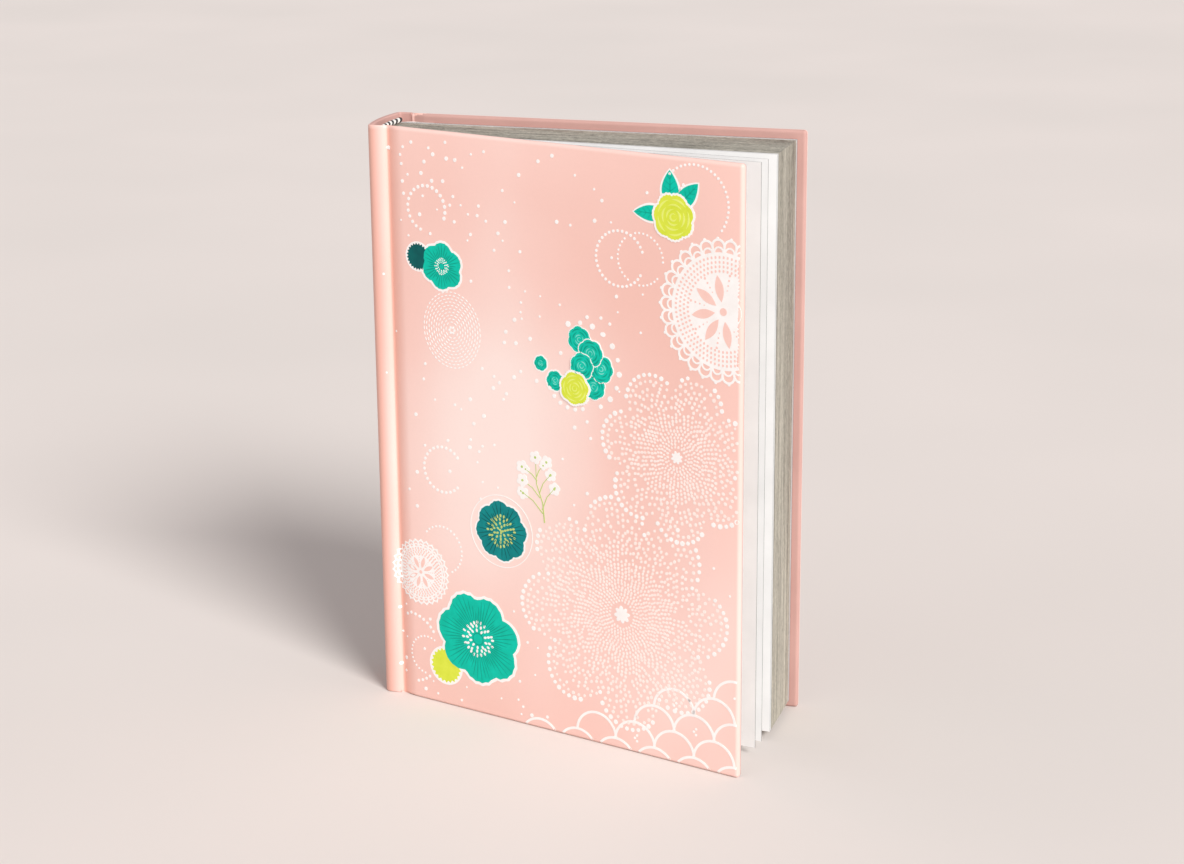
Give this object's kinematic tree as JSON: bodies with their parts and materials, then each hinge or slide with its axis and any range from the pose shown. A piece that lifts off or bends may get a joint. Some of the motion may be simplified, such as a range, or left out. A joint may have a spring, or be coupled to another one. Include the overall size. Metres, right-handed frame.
{
  "type": "scrapbook album",
  "caption": "Hardback scrapbook album with a printed covering, hinged covers, sewn sections and fanned loose leaves, standing on its tail edges.",
  "frame": {"origin": "centre of the box around the album as it stands ajar, on the surface that it stands on", "axes": "+Z from tail to head, +X from the spine to the fore-edge along the page block, +Y from the front cover to the back cover"},
  "size_m": [0.1548, 0.071, 0.216],
  "materials": {
    "printed_covering": "matt printed paper, faint fibre grain",
    "greyboard": "raw",
    "lining_paper": "matt",
    "hinge_cloth": "woven",
    "coated_page_edges": "metallic coated edges, satin",
    "leaf_paper": "matt",
    "sewing_thread": "waxed linen",
    "tape_cotton": "woven cotton",
    "gauze": "open weave",
    "liner_paper": "kraft",
    "striped_band": "silk, black and white stripes"
  },
  "bodies": {
    "book_block": {"section_01": "coated_page_edges", "section_02": "coated_page_edges", "section_03": "coated_page_edges", "section_04": "coated_page_edges", "section_05": "coated_page_edges", "section_06": "coated_page_edges", "section_07": "coated_page_edges", "section_08": "coated_page_edges", "kettle_thread_head": "sewing_thread", "kettle_thread_tail": "sewing_thread", "tape_head": "tape_cotton", "tape_middle": "tape_cotton", "tape_tail": "tape_cotton", "mull": "gauze", "spine_liner": "liner_paper", "headband": "striped_band", "tailband": "striped_band", "spine_board": "greyboard", "spine_wrap": "printed_covering", "front_joint": "hinge_cloth", "back_joint": "hinge_cloth"},
    "front_cover": {"front_cover_wrap": "printed_covering", "front_board": "greyboard", "front_pastedown": "lining_paper"},
    "back_cover": {"back_cover_wrap": "printed_covering", "back_board": "greyboard", "back_pastedown": "lining_paper"},
    "front_flyleaf": {"front_flyleaf": "leaf_paper"},
    "leaf_01": {"leaf_01": "leaf_paper"},
    "leaf_02": {"leaf_02": "leaf_paper"},
    "leaf_03": {"leaf_03": "leaf_paper"},
    "back_flyleaf": {"back_flyleaf": "leaf_paper"},
    "leaf_05": {"leaf_05": "leaf_paper"},
    "leaf_04": {"leaf_04": "leaf_paper"}
  },
  "joints": [
    {"name": "front_cover_hinge", "type": "hinge", "parent": "book_block", "child": "front_cover", "pos_m": [-0.06856, 0.00502, 0.108], "axis": [0, 0, -1], "range_deg": [-13, 158.8], "deforming": ["front_joint"]},
    {"name": "back_cover_hinge", "type": "hinge", "parent": "book_block", "child": "back_cover", "pos_m": [-0.06856, 0.03552, 0.108], "axis": [0, 0, 1], "range_deg": [0, 175], "deforming": ["back_joint"]},
    {"name": "front_flyleaf_turn", "type": "hinge", "parent": "book_block", "child": "front_flyleaf", "pos_m": [-0.06493, 0.00887, 0.108], "axis": [0, 0, -1], "range_deg": [-6.41, 78.19]},
    {"name": "leaf_01_turn", "type": "hinge", "parent": "book_block", "child": "leaf_01", "pos_m": [-0.0639, 0.00942, 0.108], "axis": [0, 0, -1], "range_deg": [-4.11, 50.09]},
    {"name": "leaf_02_turn", "type": "hinge", "parent": "book_block", "child": "leaf_02", "pos_m": [-0.06287, 0.00996, 0.108], "axis": [0, 0, -1], "range_deg": [-0.51, 6.12]},
    {"name": "leaf_03_turn", "type": "hinge", "parent": "book_block", "child": "leaf_03", "pos_m": [-0.06184, 0.0105, 0.108], "axis": [0, 0, -1], "range_deg": [-0.21, 2.45]},
    {"name": "back_flyleaf_turn", "type": "hinge", "parent": "book_block", "child": "back_flyleaf", "pos_m": [-0.06516, 0.03147, 0.108], "axis": [0, 0, 1], "range_deg": [0, 96.26]},
    {"name": "leaf_05_turn", "type": "hinge", "parent": "book_block", "child": "leaf_05", "pos_m": [-0.06416, 0.03087, 0.108], "axis": [0, 0, 1], "range_deg": [0, 59.51]},
    {"name": "leaf_04_turn", "type": "hinge", "parent": "book_block", "child": "leaf_04", "pos_m": [-0.06316, 0.03027, 0.108], "axis": [0, 0, 1], "range_deg": [0, 24.51]}
  ],
  "couplings": [
    {"joint": "front_flyleaf_turn", "follows": "front_cover_hinge", "ratio": 0.49231},
    {"joint": "leaf_01_turn", "follows": "front_cover_hinge", "ratio": 0.31539},
    {"joint": "leaf_02_turn", "follows": "front_cover_hinge", "ratio": 0.038462},
    {"joint": "leaf_03_turn", "follows": "front_cover_hinge", "ratio": 0.015385},
    {"joint": "back_flyleaf_turn", "follows": "back_cover_hinge", "ratio": 0.55},
    {"joint": "leaf_05_turn", "follows": "back_cover_hinge", "ratio": 0.34},
    {"joint": "leaf_04_turn", "follows": "back_cover_hinge", "ratio": 0.14}
  ]
}
